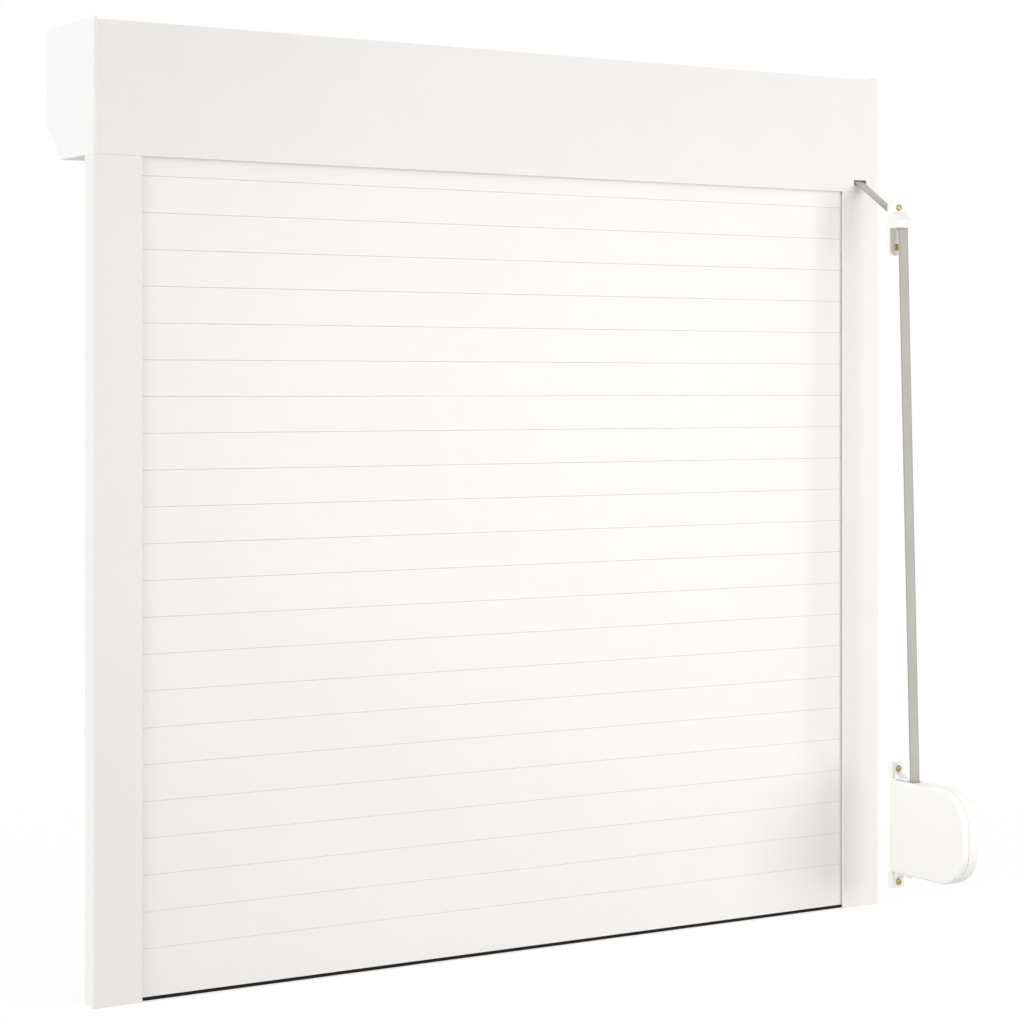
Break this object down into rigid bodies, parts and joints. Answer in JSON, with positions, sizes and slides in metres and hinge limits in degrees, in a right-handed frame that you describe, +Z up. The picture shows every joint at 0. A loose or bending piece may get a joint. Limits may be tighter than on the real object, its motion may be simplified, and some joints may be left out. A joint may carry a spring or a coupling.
{
  "type": "exterior roller shutter",
  "caption": "Strap-operated exterior roller shutter: box with end caps, two guide rails, slat curtain with end slat and seal, axle, strap guide and swivelling strap winder.",
  "frame": {"origin": "centre of the shutter box's room-side face, which rests against the wall or window frame", "axes": "+X along the width, towards the strap side; +Y away from the room, to the exterior; +Z up"},
  "size_m": [1, 0.3205, 0.9856],
  "materials": {
    "box_paint": "white powder coat on roll-formed aluminium",
    "cap_paint": "white powder coat on cast aluminium",
    "rail_paint": "white powder coat on extruded aluminium",
    "slat_plastic": "white extruded slat, satin",
    "winder_plastic": "white moulded, semi-gloss",
    "white_nylon": "natural moulded nylon",
    "strap_textile": "woven grey strap",
    "seal_rubber": "black extruded rubber",
    "brush_pile": "grey brush pile",
    "zinc_steel": "zinc plated",
    "spring_steel": "blued spring strip",
    "brass_screw": "yellow zinc plated, brass coloured"
  },
  "bodies": {
    "frame": {"box_back_panel": "box_paint", "box_top_panel": "box_paint", "box_front_panel": "box_paint", "box_inspection_cover": "box_paint", "cover_screws": "zinc_steel", "left_end_cap": "cap_paint", "right_end_cap": "cap_paint", "left_rail": "rail_paint", "right_rail": "rail_paint", "rail_brushes": "brush_pile", "rail_inlets": "white_nylon", "axle_bearings": "white_nylon", "curtain_attachments": "spring_steel", "strap": "strap_textile", "slot_guide": "zinc_steel", "guide_plate": "winder_plastic", "guide_cover": "winder_plastic", "roller_pins": "zinc_steel", "winder_brackets": "winder_plastic", "wall_screws": "brass_screw"},
    "curtain": {"slat_01": "slat_plastic", "slat_02": "slat_plastic", "slat_03": "slat_plastic", "slat_04": "slat_plastic", "slat_05": "slat_plastic", "slat_06": "slat_plastic", "slat_07": "slat_plastic", "slat_08": "slat_plastic", "slat_09": "slat_plastic", "slat_10": "slat_plastic", "slat_11": "slat_plastic", "slat_12": "slat_plastic", "slat_13": "slat_plastic", "slat_14": "slat_plastic", "slat_15": "slat_plastic", "slat_16": "slat_plastic", "slat_17": "slat_plastic", "slat_18": "slat_plastic", "slat_19": "slat_plastic", "slat_20": "slat_plastic", "slat_21": "slat_plastic", "slat_22": "slat_plastic", "end_slat": "rail_paint", "bottom_seal": "seal_rubber", "slat_end_clips": "white_nylon", "end_slat_plugs": "white_nylon"},
    "axle": {"axle_tube": "zinc_steel", "axle_idler_plug": "white_nylon", "strap_pulley": "white_nylon", "strap_on_pulley": "strap_textile"},
    "slot_roller": {"slot_roller": "white_nylon"},
    "guide_roller": {"guide_roller": "white_nylon"},
    "winder": {"winder_case_left": "winder_plastic", "winder_case_right": "winder_plastic", "winder_case_screws": "zinc_steel", "winder_axle": "zinc_steel", "strap_in_winder": "strap_textile"},
    "drum": {"winder_drum": "white_nylon", "winder_spring": "spring_steel", "strap_on_drum": "strap_textile"}
  },
  "joints": [
    {"name": "curtain_lift", "type": "slide", "parent": "frame", "child": "curtain", "axis": [0, 0, 1], "range_m": [0, 0.105], "deforming": ["curtain_attachments"]},
    {"name": "axle_turn", "type": "hinge", "parent": "frame", "child": "axle", "pos_m": [0, 0.061, 0], "axis": [1, 0, 0], "range_deg": [-250, 0]},
    {"name": "slot_roller_turn", "type": "hinge", "parent": "frame", "child": "slot_roller", "pos_m": [0.473, 0.00714, -0.0575], "axis": [1, 0, 0], "range_deg": [0, 2410]},
    {"name": "guide_roller_turn", "type": "hinge", "parent": "frame", "child": "guide_roller", "pos_m": [0.473, -0.0721, -0.10936], "axis": [1, 0, 0], "range_deg": [0, 2000]},
    {"name": "winder_swivel", "type": "hinge", "parent": "frame", "child": "winder", "pos_m": [0.473, -0.09, -0.80925], "axis": [0, 0, 1], "range_deg": [-75, 75]},
    {"name": "drum_turn", "type": "hinge", "parent": "winder", "child": "drum", "pos_m": [0.473, -0.1299, -0.80925], "axis": [1, 0, 0], "range_deg": [-390, 0]}
  ],
  "couplings": [
    {"joint": "axle_turn", "follows": "curtain_lift", "rad_per_m": -40},
    {"joint": "slot_roller_turn", "follows": "curtain_lift", "rad_per_m": 399.18},
    {"joint": "guide_roller_turn", "follows": "curtain_lift", "rad_per_m": 331.53},
    {"joint": "drum_turn", "follows": "curtain_lift", "rad_per_m": -63.301}
  ]
}
